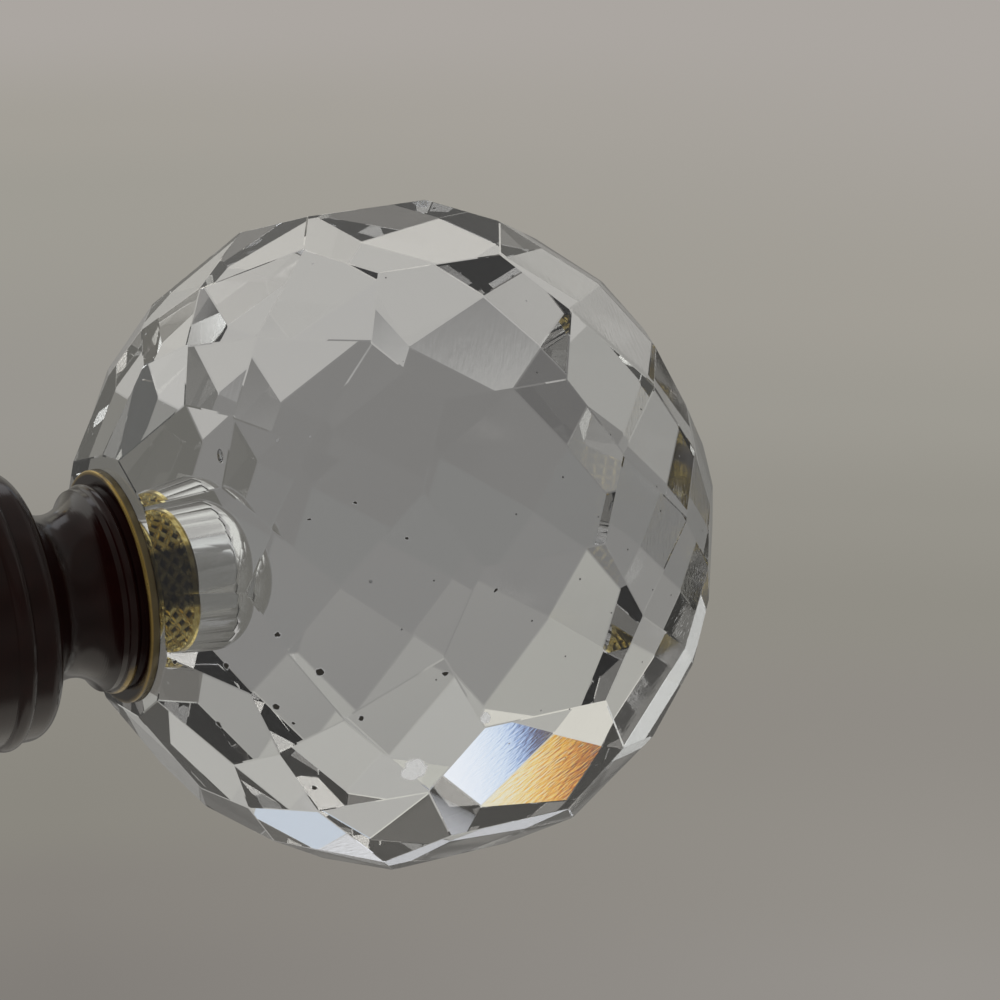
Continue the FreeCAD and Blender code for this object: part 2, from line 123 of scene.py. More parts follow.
def shade_along(angle, stops, smooth=True):
    """A colour that follows an angle through stops of (degrees, hex colour)."""
    places = [math.radians(degrees) for degrees, _ in stops]
    low, high = places[0], places[-1]
    node = add_node(room, "ValToRGB", add_node(room, "MapRange", angle, low, high))
    node.color_ramp.interpolation = "EASE" if smooth else "LINEAR"
    elements = node.color_ramp.elements
    while len(elements) < len(stops):
        elements.new(0.5)
    for element, place, (_, colour) in zip(elements, places, stops):
        element.position = (place - low) / (high - low)
        element.color = linear(colour)
    return node


def between(angle, low, high, soft):
    """1 where an angle lies between two others in degrees, with soft edges."""
    low, high, soft = (math.radians(degrees) for degrees in (low, high, soft))
    return within(room, angle, low, high, soft, interpolation_type="SMOOTHSTEP")


def patch(under, swings, rises, soft, colour):
    """Lay a colour over what is under it, between two angles round and two up."""
    inside = (between(swing, *swings, soft), between(rise, *rises, soft))
    share = add_node(room, "Math", *inside, operation="MULTIPLY")
    return add_node(room, "Mix", share, under, colour, data_type="RGBA")


# The wall as the camera sees it, by degrees above level: darker low down on the left
WALL_LEFT = (
    (-28.3, "827e79"), (-26.7, "86827c"), (-25.4, "8a877f"), (-22.1, "8f8c84"),
    (-18.8, "999690"), (-15.2, "9f9c94"), (-14.2, "a39f97"), (-12.5, "aba6a1"),
)
WALL_RIGHT = (
    (-28.3, "96928d"), (-26.7, "94908a"), (-23.8, "908c86"), (-22.1, "918e86"),
    (-20.5, "96938b"), (-18.8, "9d9a92"), (-17.2, "a29e96"), (-12.5, "aba6a1"),
)
RIGHT_TO_LEFT = (math.radians(54), math.radians(70))
leftward = add_node(room, "MapRange", swing, *RIGHT_TO_LEFT)
walls = (shade_along(rise, WALL_RIGHT), shade_along(rise, WALL_LEFT))
wall = add_node(room, "Mix", leftward, *walls, data_type="RGBA")

# What glass and metal see ahead of the camera, by degrees above level. Away from the middle
# the bands bend down, by 0.005 degrees for each squared degree.
BANDS = (
    (-80, "bdbab2"), (-60, "b9b6af"), (-46, "b4b1ab"), (-44.9, "a3a19c"), (-44.2, "8a8884"),
    (-43, "807e7a"), (-36, "7c7a76"), (-29, "7e7c78"), (-22, "82817d"), (-14, "868480"),
    (-9.5, "8f8d88"), (-5, "9c9a94"), (-1, "aba9a1"), (4, "b4b2ab"), (16, "aeaca6"),
    (30, "9c9a96"), (60, "8a8884"),
)
BAND_MIDDLE = math.radians(80)
BAND_BEND = 0.005 * 180 / math.pi
BAND_REACH = math.radians(48)  # how far round the bands go on bending
off_middle = add_node(room, "Math", swing, BAND_MIDDLE, operation="SUBTRACT")
squared = add_node(room, "Math", off_middle, off_middle, operation="MULTIPLY")
squared = add_node(room, "Math", squared, BAND_REACH**2, operation="MINIMUM")
sag = add_node(room, "Math", squared, BAND_BEND, operation="MULTIPLY")
bands = shade_along(add_node(room, "Math", rise, sag, operation="SUBTRACT"), BANDS)

# The dim room behind the camera, and the degrees round between which the bands hide it
BEHIND = (
    (-75, "8a8781"), (-45, "76736d"), (-22, "625f5a"), (0, "6c6964"),
    (22, "585651"), (45, "6e6c67"), (75, "78756f"),
)
AHEAD = (-32, 158)
AHEAD_SOFT = 10
dim_room = shade_along(rise, BEHIND)
surroundings = add_node(
    room, "Mix", between(swing, *AHEAD, AHEAD_SOFT), dim_room, bands, data_type="RGBA"
)

# Darker and paler places in it, and the windows: degrees round from the pole's axis, degrees
# above level, softness in degrees, colour
PLACES = (
    ((86, 99), (-43, -31), 2.5, "686663"),
    ((-40, 33), (-32, 3), 5.0, "68665f"),
    ((101, 125), (-46, -27), 2.0, "9b9993"),
    ((83, 98), (-11, 6), 4.0, "adaba2"),
    ((-20, 24), (7, 26), 3.0, "d8d7ce"),
    ((18, 42), (-8, 8), 3.0, "6e6b65"),
    ((70, 92), (26.5, 31), 0.5, "45433f"),
    ((20, 42), (29, 38), 1.5, "5a5854"),
)
WINDOWS = (
    ((44, 58), (24, 30), 1.0, "c9d4e0"),
    ((55, 95), (31.5, 47), 1.0, "fbfcff"),
    ((64, 79), (17.5, 26), 1.0, "d6d4c8"),
    ((84, 104), (6, 22), 0.6, "e0dccf"),
    ((104, 138), (4, 31), 1.5, "fbfbf5"),
)
for place in PLACES + WINDOWS:
    surroundings = patch(surroundings, *place)

# Cut glass splits the light at a bright edge into its colours. The renderer doesn't, so the
# upright edges of two windows have a blue and an orange fringe, by degrees round.
BLUE_FRINGE = (
    (78.8, "33262c"), (79.15, "5c5468"), (79.4, "93aedb"), (79.65, "d3e2f3"),
    (80.2, "eef4fb"), (80.8, "fafcff"),
)
ORANGE_FRINGE = (
    (91.3, "241a14"), (91.8, "6e3514"), (92.2, "dc7418"), (92.7, "ffbe36"),
    (93.1, "ffe078"), (93.8, "fff8dc"),
)
FRINGE_SOFT = 0.3
FRINGES = (((78.8, 84), (8, 12), BLUE_FRINGE), ((91, 97), (21.5, 25.5), ORANGE_FRINGE))
for swings, rises, fringe in FRINGES:
    colours = shade_along(swing, fringe, smooth=False)
    surroundings = patch(surroundings, swings, rises, FRINGE_SOFT, colours)

# The camera sees the wall, glass and metal see the surroundings, and an even light falls on
# what is matt
EVEN_LIGHT = "c8c6c2"
rays = add_node(room, "LightPath").outputs
glossy, through = rays["Is Glossy Ray"], rays["Is Transmission Ray"]
bent = add_node(room, "Math", glossy, through, operation="MAXIMUM")
plain = add_node(room, "Mix", rays["Is Camera Ray"], EVEN_LIGHT, wall, data_type="RGBA")
seen = add_node(room, "Mix", bent, plain, surroundings, data_type="RGBA")
add_node(room, "OutputWorld", add_node(room, "Background", seen, Strength=1))


# Floor: a plain pale matt disc far below the finial, which its pole holds up. It fades out
# towards its rim into the wall's foot.
FLOOR_CENTRE = Vector((ball_centre.x, 0, -450 * MM))
FLOOR_RADIUS = 330 * MM
FLOOR_SOLID_RADIUS = 180 * MM
FLOOR_SIDES = 96
PAPER_COLOUR = "d6d3cc"


def new_piece(name, mesh, *materials):
    """Turn a bmesh into an object of the scene, with its materials, and free the bmesh."""
    data = bpy.data.meshes.new(name)
    mesh.to_mesh(data)
    mesh.free()
    for material in materials:
        data.materials.append(material)
    piece = bpy.data.objects.new(name, data)
    scene.collection.objects.link(piece)
    return piece


def new_material(name):
    """A material with its empty node tree, and the places on the piece in that tree."""
    material = bpy.data.materials.new(name)
    material.use_nodes = True
    tree = material.node_tree
    tree.nodes.clear()
    return material, tree, add_node(tree, "TexCoord").outputs["Object"]


# Uncoated paper, matt at every angle
paper, tree, place = new_material("matt_paper")
away = add_node(tree, "VectorMath", place, FLOOR_CENTRE, operation="DISTANCE")
fade_over = (FLOOR_SOLID_RADIUS, FLOOR_RADIUS)
fade = add_node(tree, "MapRange", away, *fade_over, interpolation_type="SMOOTHSTEP")
matt = add_node(tree, "BsdfDiffuse", PAPER_COLOUR)
faded = add_node(tree, "MixShader", fade, matt, add_node(tree, "BsdfTransparent"))
add_node(tree, "OutputMaterial", faded)

floor_mesh = bmesh.new()
bmesh.ops.create_circle(floor_mesh, cap_ends=True, segments=FLOOR_SIDES, radius=FLOOR_RADIUS)
bmesh.ops.translate(floor_mesh, vec=FLOOR_CENTRE, verts=floor_mesh.verts)
new_piece("floor", floor_mesh, paper)


# Lamps: two large soft panels that glass and metal don't mirror. The key stands above and
# behind the finial, where the room's light comes from, and the weaker fill on the near side.
def soft_panel(name, from_ball, width, watts):
    """A square area lamp that faces the ball, with its place and width in mm."""
    data = bpy.data.lights.new(name, "AREA")
    data.size = width * MM
    data.energy = watts
    lamp = bpy.data.objects.new(name, data)
    lamp.location = ball_centre + Vector(from_ball) * MM
    lamp.rotation_euler = (ball_centre - lamp.location).to_track_quat("-Z", "Y").to_euler()
    lamp.visible_camera = False
    lamp.visible_transmission = False
    lamp.visible_glossy = False
    scene.collection.objects.link(lamp)


soft_panel("key_panel", (-250, 500, 500), width=500, watts=4)
soft_panel("fill_panel", (-400, -500, 300), width=600, watts=2)


# Glass ball: solid crown glass, ground and polished by hand to a net of flat facets, with a
# round-nosed bore from the seat. Clear cement joins it to the plug and bends light as the
# glass does, so the glass here reaches in to the plug.
BALL_RADIUS = 28.6 * MM
EDGE_WEAR = 0.08 * MM  # polishing leaves each edge a hair's breadth wide
MERGE_WITHIN = 0.01 * MM
FLAT_ENOUGH = math.radians(0.3)  # faces that turn by less are one facet
SHARP_FROM = math.radians(30)  # edges that turn by less are shaded round
SEAT_OUT = 0.9 * MM  # the seat lies this far out from the solid's
SEAT_AIR = 0.02 * MM  # air between the seat and the brass flange
BORE_RADIUS = 5.7 * MM
BORE_DEPTH = 16.0 * MM
BORE_NOSE = 4.4 * MM
BORE_STEPS = 160
NOSE_STEPS = 40
PLUG_LENGTH = 7.4 * MM
CEMENT_OVERLAP = 0.9 * MM  # how far the cement reaches in to the plug


def along(tilt, turn):
    """The direction at an angle from the pole's axis and a turn round it, in degrees."""
    tilt, turn = math.radians(tilt), math.radians(turn)
    spread = math.sin(tilt)
    return Vector((math.cos(tilt), spread * math.cos(turn), spread * math.sin(turn)))


# Fine specks of dirt, at most one in each cell of a pattern
SPECK_CELL = 2.2 * MM
CELLS_WITHOUT = 0.55  # share of the cells that have none
LARGEST_SPECK = 0.06  # radius of the largest, in cells
SPECK_SHADE = 0.7
# Pits with old polish in them: degrees from the axis, degrees round it, radius in mm
PITS = (
    (135, 175, 0.3), (145, -173, 0.33), (128, -177, 0.4), (135.3, -166, 0.36),
    (132, -163, 0.22), (121, -168, 0.3), (108, -178, 0.3), (112, 158, 0.17),
    (99, 169, 0.18), (119, 150, 0.18), (126, -146, 0.28), (127, 151, 0.14),
    (145, -150, 0.33), (155, -167, 0.26),
)
PIT_EDGE = 0.3  # share of the radius over which a mark fades out
# Pale chips where the ball has been knocked
CHIPS = ((101, -169, 0.5), (111, -158, 1.0), (111.8, -156.6, 0.8))
CHIP_EDGE = 0.25
CHIP_DEPTH = 0.2 * MM
BROKEN_GRAIN = 0.5 * MM
RAGGED = 0.014  # how ragged the marks' outlines are, in radii of the ball
CHIP_CLOUD = 0.45
CHIP_ROUGH = 0.35
DIRT_ROUGH = 0.6
# The polishing wheel's marks
MARK_WIDTH = 0.3 * MM
MARK_LENGTH = 7 * MM
# Crown glass is all but colourless, and a breath of haze keeps its depths from going black
GLASS_COLOUR = "f9fbff"
GLASS_IOR = 1.516
GLASS_CLEAR = 0.98
DIRT_COLOUR = "2c2a26"


def spots(tree, direction, marks, edge):
    """1 inside round marks on the ball's surface, 0 outside them."""
    total = None
    for tilt, turn, radius in marks:
        away = add_node(tree, "VectorMath", direction, along(tilt, turn), operation="DISTANCE")
        size = radius * MM / BALL_RADIUS
        inside = add_node(tree, "MapRange", away, size * (1 - edge), size, 1, 0)
        if total is not None:
            inside = add_node(tree, "Math", total, inside, operation="MAXIMUM")
        total = inside
    return total


def specks(tree, place):
    """The share of dirt in the fine specks."""
    cells = add_node(tree, "TexVoronoi", place, Scale=1 / SPECK_CELL).outputs
    chance = add_node(tree, "SeparateColor", cells["Color"])
    size = add_node(tree, "MapRange", chance, CELLS_WITHOUT, 1, 0, LARGEST_SPECK)
    inside = add_node(tree, "Math", cells["Distance"], size, operation="LESS_THAN")
    return add_node(tree, "Math", inside, SPECK_SHADE, operation="MULTIPLY")


def knocks(tree, place):
    """The shares of the pits and of the chips, and the broken surface of the chips."""
    from_centre = add_node(tree, "VectorMath", place, ball_centre, operation="SUBTRACT")
    direction = add_node(tree, "VectorMath", from_centre, operation="NORMALIZE")
    grain = add_node(tree, "TexNoise", place, Scale=1 / BROKEN_GRAIN, Detail=1)
    wander = (grain.outputs["Color"], (RAGGED,) * 3, (-RAGGED / 2,) * 3)
    ragged = add_node(tree, "VectorMath", *wander, operation="MULTIPLY_ADD")
    direction = add_node(tree, "VectorMath", direction, ragged, operation="ADD")
    chip = spots(tree, direction, CHIPS, CHIP_EDGE)
    broken = add_node(tree, "Bump", Strength=chip, Distance=CHIP_DEPTH, Height=grain)
    return spots(tree, direction, PITS, PIT_EDGE), chip, broken


def wheel_marks(tree, place, lengthwise, depth):
    """The surface with fine scratches along one direction."""
    turn = lengthwise.to_track_quat("Z", "Y").to_euler()
    size = (MARK_WIDTH, MARK_WIDTH, MARK_LENGTH)
    stretched = add_node(tree, "Mapping", place, vector_type="TEXTURE", Rotation=turn, Scale=size)
    streak = add_node(tree, "TexNoise", stretched, Scale=1, Detail=2)
    return add_node(tree, "Bump", Distance=depth, Height=streak)


def ball_glass(name, marks_along=None, mark_depth=0, knocked=False):
    """Crown glass with a breath of haze and fine specks. Some facets keep the wheel's marks,
    and the knocked ones have pits and chips."""
    material, tree, place = new_material(name)
    dirt = specks(tree, place)
    normal = None
    if knocked:
        pit, chip, normal = knocks(tree, place)
        dirt = add_node(tree, "Math", dirt, pit, operation="MAXIMUM")
    if marks_along:
        normal = wheel_marks(tree, place, marks_along, mark_depth)
    cloudy = dirt
    rough = add_node(tree, "Math", dirt, DIRT_ROUGH, operation="MULTIPLY")
    if knocked:
        cloud = add_node(tree, "Math", chip, CHIP_CLOUD, operation="MULTIPLY")
        cloudy = add_node(tree, "Math", dirt, cloud, operation="MAXIMUM")
        chip_rough = add_node(tree, "Math", chip, CHIP_ROUGH, operation="MULTIPLY")
        rough = add_node(tree, "Math", rough, chip_rough, operation="MAXIMUM")
    body = add_node(
        tree,
        "BsdfPrincipled",
        Base_Color=add_node(tree, "Mix", dirt, GLASS_COLOUR, DIRT_COLOUR, data_type="RGBA"),
        Transmission_Weight=add_node(tree, "MapRange", cloudy, 0, 1, GLASS_CLEAR, 0),
        Roughness=rough,
        IOR=GLASS_IOR,
        Normal=normal,
    )
    add_node(tree, "OutputMaterial", body)
    return material


def spin_profile(points, steps):
    """Spin a profile of (x, radius) points once round the pole's axis."""
    mesh = bmesh.new()
    corners = [mesh.verts.new((x, 0, radius)) for x, radius in points]
    sides = [mesh.edges.new(pair) for pair in zip(corners, corners[1:])]
    bmesh.ops.spin(
        mesh,
        geom=corners + sides,
        cent=(0, 0, 0),
        axis=(1, 0, 0),
        angle=2 * math.pi,
        steps=steps,
        use_merge=True,
    )
    bmesh.ops.remove_doubles(mesh, verts=mesh.verts, dist=0.1 * MERGE_WITHIN)
    bmesh.ops.recalc_face_normals(mesh, faces=mesh.faces)
    for face in mesh.faces:
        face.smooth = True
    for edge in mesh.edges:
        edge.smooth = edge.calc_face_angle(0) < SHARP_FROM
    return mesh


def cut_out(piece, cutter_mesh):
    """Cut a closed bmesh out of a piece for good."""
    cutter = new_piece("cutter", cutter_mesh)
    cut = piece.modifiers.new("cut", "BOOLEAN")
    cut.object = cutter
    cut.operation = "DIFFERENCE"
    cut.solver = "EXACT"
    depsgraph = bpy.context.evaluated_depsgraph_get()
    whole = piece.data
    piece.data = bpy.data.meshes.new_from_object(piece.evaluated_get(depsgraph))
    piece.modifiers.clear()
    bpy.data.meshes.remove(whole)
    bpy.data.objects.remove(cutter)


def replace(piece, node):
    """Let a piece ride on the one body and take the place of a CAD node, which is hidden."""
    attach(piece, "root")
    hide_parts(node)


ball = bmesh.new()
ball.from_mesh(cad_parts["glass_ball"].data)
bmesh.ops.remove_doubles(ball, verts=ball.verts, dist=MERGE_WITHIN)
# The hull leaves out the solid's bore, which is cut again below with the cement in it
hull = bmesh.ops.convex_hull(ball, input=ball.verts)
bore_corners = list({*hull["geom_interior"], *hull["geom_unused"]})
bmesh.ops.delete(ball, geom=bore_corners, context="VERTS")
outside = set(hull["geom"])
doubled = [face for face in ball.faces if face not in outside]
bmesh.ops.delete(ball, geom=doubled, context="FACES_ONLY")
bmesh.ops.dissolve_limit(ball, angle_limit=FLAT_ENOUGH, verts=ball.verts, edges=ball.edges)

# The seat's corners go out to where the facets' own edges lead them
cad_seat = min(corner.co.x for corner in ball.verts)
for corner in [vert for vert in ball.verts if vert.co.x < cad_seat + SEAT_AIR]:
    inner = max((edge.other_vert(corner).co for edge in corner.link_edges), key=lambda co: co.x)
    slope = corner.co - inner
    corner.co += slope * ((SEAT_OUT - SEAT_AIR) / -slope.x)
bmesh.ops.bevel(
    ball,
    geom=ball.edges,
    offset=EDGE_WEAR,
    affect="EDGES",
    segments=1,
    profile=0.5,
    material=-1,
)

# Facets that show the wheel's marks, by degrees from the axis and round it, the way that the
# marks run and their depth, and the side of the ball that has been knocked
PLAIN, UPRIGHT, SLANTED, KNOCKED = range(4)
MARKED_FACETS = {UPRIGHT: ((56, -15), (45, -29)), SLANTED: ((65, -29), (56, -43))}
UPRIGHT_WAY, UPRIGHT_DEPTH = Vector((0.1, 0, 1)), 0.009 * MM
SLANTED_WAY, SLANTED_DEPTH = Vector((0.6, -0.33, 0.72)), 0.004 * MM
ALIKE = math.cos(math.radians(3))
KNOCKED_SIDE = along(115, 157)
KNOCKED_REACH = 0.3
for face in ball.faces:
    face.smooth = False
    face.material_index = PLAIN
    for finish, facets in MARKED_FACETS.items():
        if any(face.normal.dot(along(*facet)) > ALIKE for facet in facets):
            face.material_index = finish
    if face.normal.dot(KNOCKED_SIDE) > KNOCKED_REACH:
        face.material_index = KNOCKED
glass_ball = new_piece(
    "cut_glass_ball",
    ball,
    ball_glass("polished_crown_glass"),
    ball_glass("glass_with_upright_marks", UPRIGHT_WAY, UPRIGHT_DEPTH),
    ball_glass("glass_with_slanted_marks", SLANTED_WAY, SLANTED_DEPTH),
    ball_glass("knocked_glass", knocked=True),
)

# The bore: air in front of the plug and past it, the cement's sleeve between, a round nose
plug_start, plug_end = cad_seat, cad_seat + PLUG_LENGTH
mouth = cad_seat - SEAT_OUT - MM
sleeve_start, sleeve_end = plug_start + SEAT_AIR, plug_end - SEAT_AIR
sleeve_radius = BORE_RADIUS - CEMENT_OVERLAP
nose_centre = cad_seat + BORE_DEPTH - BORE_NOSE
bore = [(mouth, 0), (mouth, BORE_RADIUS), (sleeve_start, BORE_RADIUS)]
bore += [(sleeve_start, sleeve_radius), (sleeve_end, sleeve_radius), (sleeve_end, BORE_RADIUS)]
for step in range(NOSE_STEPS + 1):
    turn = math.pi / 2 * step / NOSE_STEPS
    drop = BORE_NOSE * (1 - math.cos(turn))
    bore.append((nose_centre + BORE_NOSE * math.sin(turn), BORE_RADIUS - drop))
bore.append((nose_centre + BORE_NOSE, 0))
cut_out(glass_ball, spin_profile(bore, BORE_STEPS))

# Two bubbles of air just under the facets, the longer one drawn out as the glass was:
# degrees from the axis, degrees round it, depth and radius in mm, times as long as wide
BUBBLES = ((139, 128, 1.2, 0.3, 2.6), (119, 165, 0.6, 0.14, 1.0))
BUBBLE_LEAN = Matrix.Rotation(math.radians(-20), 3, "Y")
BUBBLE_FINENESS = 4
for tilt, turn, depth, radius, stretch in BUBBLES:
    bubble = bmesh.new()
    place = ball_centre + along(tilt, turn) * (BALL_RADIUS - depth * MM)
    bmesh.ops.create_icosphere(bubble, subdivisions=BUBBLE_FINENESS, radius=radius * MM)
    bmesh.ops.scale(bubble, vec=(1, 1, stretch), verts=bubble.verts)
    bmesh.ops.rotate(bubble, cent=(0, 0, 0), matrix=BUBBLE_LEAN, verts=bubble.verts)
    bmesh.ops.translate(bubble, vec=place, verts=bubble.verts)
    cut_out(glass_ball, bubble)
replace(glass_ball, "glass_ball")


# Knurled plug: cast brass, cemented in the bore to take the centre screw. A net of raised
# ridges keys it to the cement, darker deep in the pits between them, and its inner
# end has a thin plain rim. One side is coloured dark as painted shade.
PLUG_RADIUS = 5.56 * MM
PLUG_HOLE = 3.05 * MM
PLUG_RIM = 0.7 * MM
KNURL_DEPTH = 0.5 * MM
KNURLS_ROUND = 22
KNURL_PITCH = 2 * math.pi * PLUG_RADIUS / KNURLS_ROUND
STEPS_A_KNURL = 12
PIT_FROM, PIT_TO = 0.4, 0.6  # shares of the knurl's depth over which its pits are darkened
PIT_COLOUR = "171004"
# Painted shade: the plug's side towards the camera is coloured dark
SHADED_SIDE_MIDDLE = math.radians(157)  # the side with painted shade, by the turn round the axis
SHADED_SIDE_HALF = math.radians(22.5)
SHADED_SIDE_SOFT = math.radians(2.5)
PAINTED_SHADE_COLOUR = "35301d"
DARKENING_SHARE = 0.9
TONES_OVER = (0.38, 0.62)  # the part of the cloud's range over which a metal's tones change


def turned_radius(tree, parts):
    """The distance from the pole's axis."""
    squares = [add_node(tree, "Math", parts[name], 2, operation="POWER") for name in "YZ"]
    square = add_node(tree, "Math", *squares, operation="ADD")
    return add_node(tree, "Math", square, operation="SQRT")


def plug_shade_and_pit_darkening(tree, place):
    """Shares and colours of the darkening: painted shade on one side of the plug, and the darker
    pits of its knurl.
    """
    parts = add_node(tree, "SeparateXYZ", place).outputs
    pit_from, pit_to = (PLUG_RADIUS - share * KNURL_DEPTH for share in (PIT_FROM, PIT_TO))
    radius = turned_radius(tree, parts)
    pits = add_node(tree, "MapRange", radius, pit_to, pit_from, DARKENING_SHARE, 0)
    turn = add_node(tree, "Math", parts["Z"], parts["Y"], operation="ARCTAN2")
    shade_from, shade_to = SHADED_SIDE_MIDDLE - SHADED_SIDE_HALF, SHADED_SIDE_MIDDLE + SHADED_SIDE_HALF
    # Painted shade laid on one side of the plug
    painted_shade_side = within(tree, turn, shade_from, shade_to, SHADED_SIDE_SOFT, DARKENING_SHARE)
    return (painted_shade_side, PAINTED_SHADE_COLOUR), (pits, PIT_COLOUR)


def worn_metal(name, light, dark, wear_size, rough, darkening=None):
    """Bare worn metal in two tones, clouded together at a size in mm, and any darkening laid over
    it, such as painted shade.
    """
    material, tree, place = new_material(name)
    cloud = add_node(tree, "TexNoise", place, Scale=1 / (wear_size * MM), Detail=3)
    tone = add_node(tree, "MapRange", cloud, *TONES_OVER)
    colour = add_node(tree, "Mix", tone, light, dark, data_type="RGBA")
    for share, shade in darkening(tree, place) if darkening else ():
        colour = add_node(tree, "Mix", share, colour, shade, data_type="RGBA")
    body = add_node(tree, "BsdfPrincipled", Base_Color=colour, Metallic=1, Roughness=rough)
    add_node(tree, "OutputMaterial", body)
    return material


rows = round(PLUG_LENGTH / KNURL_PITCH * STEPS_A_KNURL)
side = [(plug_start + PLUG_LENGTH * row / rows, PLUG_RADIUS) for row in range(rows + 1)]
hole = [(plug_end, PLUG_HOLE), (plug_start, PLUG_HOLE)]
plug = spin_profile([hole[-1], *side, *hole], KNURLS_ROUND * STEPS_A_KNURL)
for corner in plug.verts:
    radius = math.hypot(corner.co.y, corner.co.z)
    if radius < (PLUG_HOLE + PLUG_RADIUS) / 2 or corner.co.x > plug_end - PLUG_RIM:
        continue
    # Ridges run both ways round, wherever a count of knurls is whole
    knurls_round = math.atan2(corner.co.z, corner.co.y) / (2 * math.pi) * KNURLS_ROUND
    knurls_along = (corner.co.x - plug_start) / KNURL_PITCH
    counts = (knurls_round + knurls_along, knurls_round - knurls_along)
    off_ridge = min(abs((count + 0.5) % 1 - 0.5) * 2 for count in counts)
    shrink = 1 - KNURL_DEPTH * off_ridge / radius
    corner.co.y *= shrink
    corner.co.z *= shrink
for face in plug.faces:
    face.smooth = False
# Cast brass, bright yellow, darker deep in the pits between its ridges, with painted shade on one
# side
BRASS_LIGHT, BRASS_DARK = "f6e49a", "cdb055"
plug_brass = worn_metal("plug_brass", BRASS_LIGHT, BRASS_DARK, 0.8, 0.16, plug_shade_and_pit_darkening)
replace(new_piece("knurled_plug", plug, plug_brass), "bore_plug")


# Pole socket: turned from one brass bar, lacquered a dark red-brown that has worn through to
# the brass on the flange's edge. More bare brass on the edge's upper part, and on the crest of
# the bead behind it low down, is a painted highlight.
SOCKET_STEPS = 144
ARC_STEPS = 12
# The barrel, in mm from its mouth to its floor, with radii for the round parts
SOCKET_DEPTH = 24.0
POLE_BORE = 9.7
MOUTH_BREAK = 0.6
BARREL = 11.7
RING_INSET = 1.2
RING_ROUND = 0.9
RING_SUNK = 0.4  # how far a ring's centre lies inside the barrel's surface
GRUB_HOLE = 2.05
GRUB_FROM_MOUTH = 10
# The floor, and the recess and hole in it for the centre screw
FLOOR_THICKNESS = 2.4
SHOULDER_ROUND = 1.6
HEAD_RECESS = 5.5
HEAD_RECESS_DEPTH = 4.2
SCREW_HOLE = 3.15
# The neck, its waist, the bead and the flange
NECK = 8.8
NECK_LENGTH = 12.0  # the socket's floor to the seat in the solid
WAIST = 7.1
WAIST_BEND = 3.156
WAIST_START = 27.5  # degrees from level where the waist's hollow leaves the neck
BEAD_ROUND = 0.6
BEAD_SUNK = 0.25
BEAD_START = 25  # degrees from level where the bead leaves the neck
BEAD_GAP = 0.25
FLANGE = 10.2
FLANGE_EDGE = 0.8
FLANGE_ROUND = 0.25


def arc(x, radius, bend, start, end):
    """Profile points on an arc round (x, radius), from one angle to another in degrees."""
    points = []
    for step in range(ARC_STEPS + 1):
        turn = math.radians(start + (end - start) * step / ARC_STEPS)
        points.append((x + bend * math.cos(turn), radius + bend * math.sin(turn)))
    return points


flange_face = NECK_LENGTH - SEAT_OUT / MM
flange_back = flange_face - FLANGE_EDGE
bead_x = flange_back - BEAD_GAP - BEAD_ROUND
waist_x = (FLOOR_THICKNESS + bead_x - BEAD_ROUND) / 2
shoulder_x = FLOOR_THICKNESS - SHOULDER_ROUND
ring_start = math.degrees(math.asin(RING_SUNK / RING_ROUND))
profile = [(-SOCKET_DEPTH, POLE_BORE + MOUTH_BREAK), (-SOCKET_DEPTH, BARREL)]
for ring_x in (RING_INSET - SOCKET_DEPTH, -RING_INSET):
    profile += arc(ring_x, BARREL - RING_SUNK, RING_ROUND, 180 - ring_start, ring_start)
profile += arc(shoulder_x, BARREL - SHOULDER_ROUND, SHOULDER_ROUND, 90, 0)
profile += [(FLOOR_THICKNESS, NECK)]
profile += arc(waist_x, WAIST + WAIST_BEND, WAIST_BEND, 180 + WAIST_START, 360 - WAIST_START)
profile += arc(bead_x, NECK - BEAD_SUNK, BEAD_ROUND, 180 - BEAD_START, BEAD_START)
profile += [(flange_back, NECK)]
profile += arc(flange_back + FLANGE_ROUND, FLANGE - FLANGE_ROUND, FLANGE_ROUND, 180, 90)
profile += [(flange_face, FLANGE), (flange_face, SCREW_HOLE), (HEAD_RECESS_DEPTH, SCREW_HOLE)]
profile += [(HEAD_RECESS_DEPTH, HEAD_RECESS), (0, HEAD_RECESS), (0, POLE_BORE)]
profile += [(MOUTH_BREAK - SOCKET_DEPTH, POLE_BORE), (-SOCKET_DEPTH, POLE_BORE + MOUTH_BREAK)]

# Where the lacquer has worn, and the bead's crest that carries a painted highlight: places
# along the axis and radii, each with the softness of its edges, in mm
WORN_EDGE = ((flange_back + 0.03, flange_back + 0.17, 0.06), (9.85, 10.6, 0.05))
DULLED_RIM = ((flange_back + 0.22, flange_face - 0.1, 0.1), (10.1, 10.6, 0.02))
CREST_HIGHLIGHT_RING = ((bead_x - 0.35, bead_x + 0.35, 0.15), (9.0, 9.3, 0.05))
# The edge's bare brass is strongest above the axis as a painted highlight, and the crest's
# painted highlight shows only below it: heights, shares
EDGE_HIGHLIGHT_HEIGHTS = (2 * MM, 4 * MM, 0.45, 1)
CREST_HIGHLIGHT_HEIGHTS = (-4 * MM, -7 * MM)
CREST_SHARE = 0.75
DULLED_SHARE = 0.85
DULLED_METALLIC = 0.7
WEAR_SIZE = 1.6 * MM
WEAR_OVER = (0.3, 0.5, 0.35, 1)  # part of the cloud's range, and the shares of wear there
TOOL_RINGS = 0.12 * MM
TOOL_RING_DEPTH = 0.012 * MM
LACQUER_THICK, LACQUER_THIN = "0a0303", "170504"
DULLED_BRASS, BARE_BRASS = "6a6048", "b89c58"
LACQUER_ROUGH, BRASS_ROUGH = 0.12, 0.3
LACQUER_IOR = 1.5


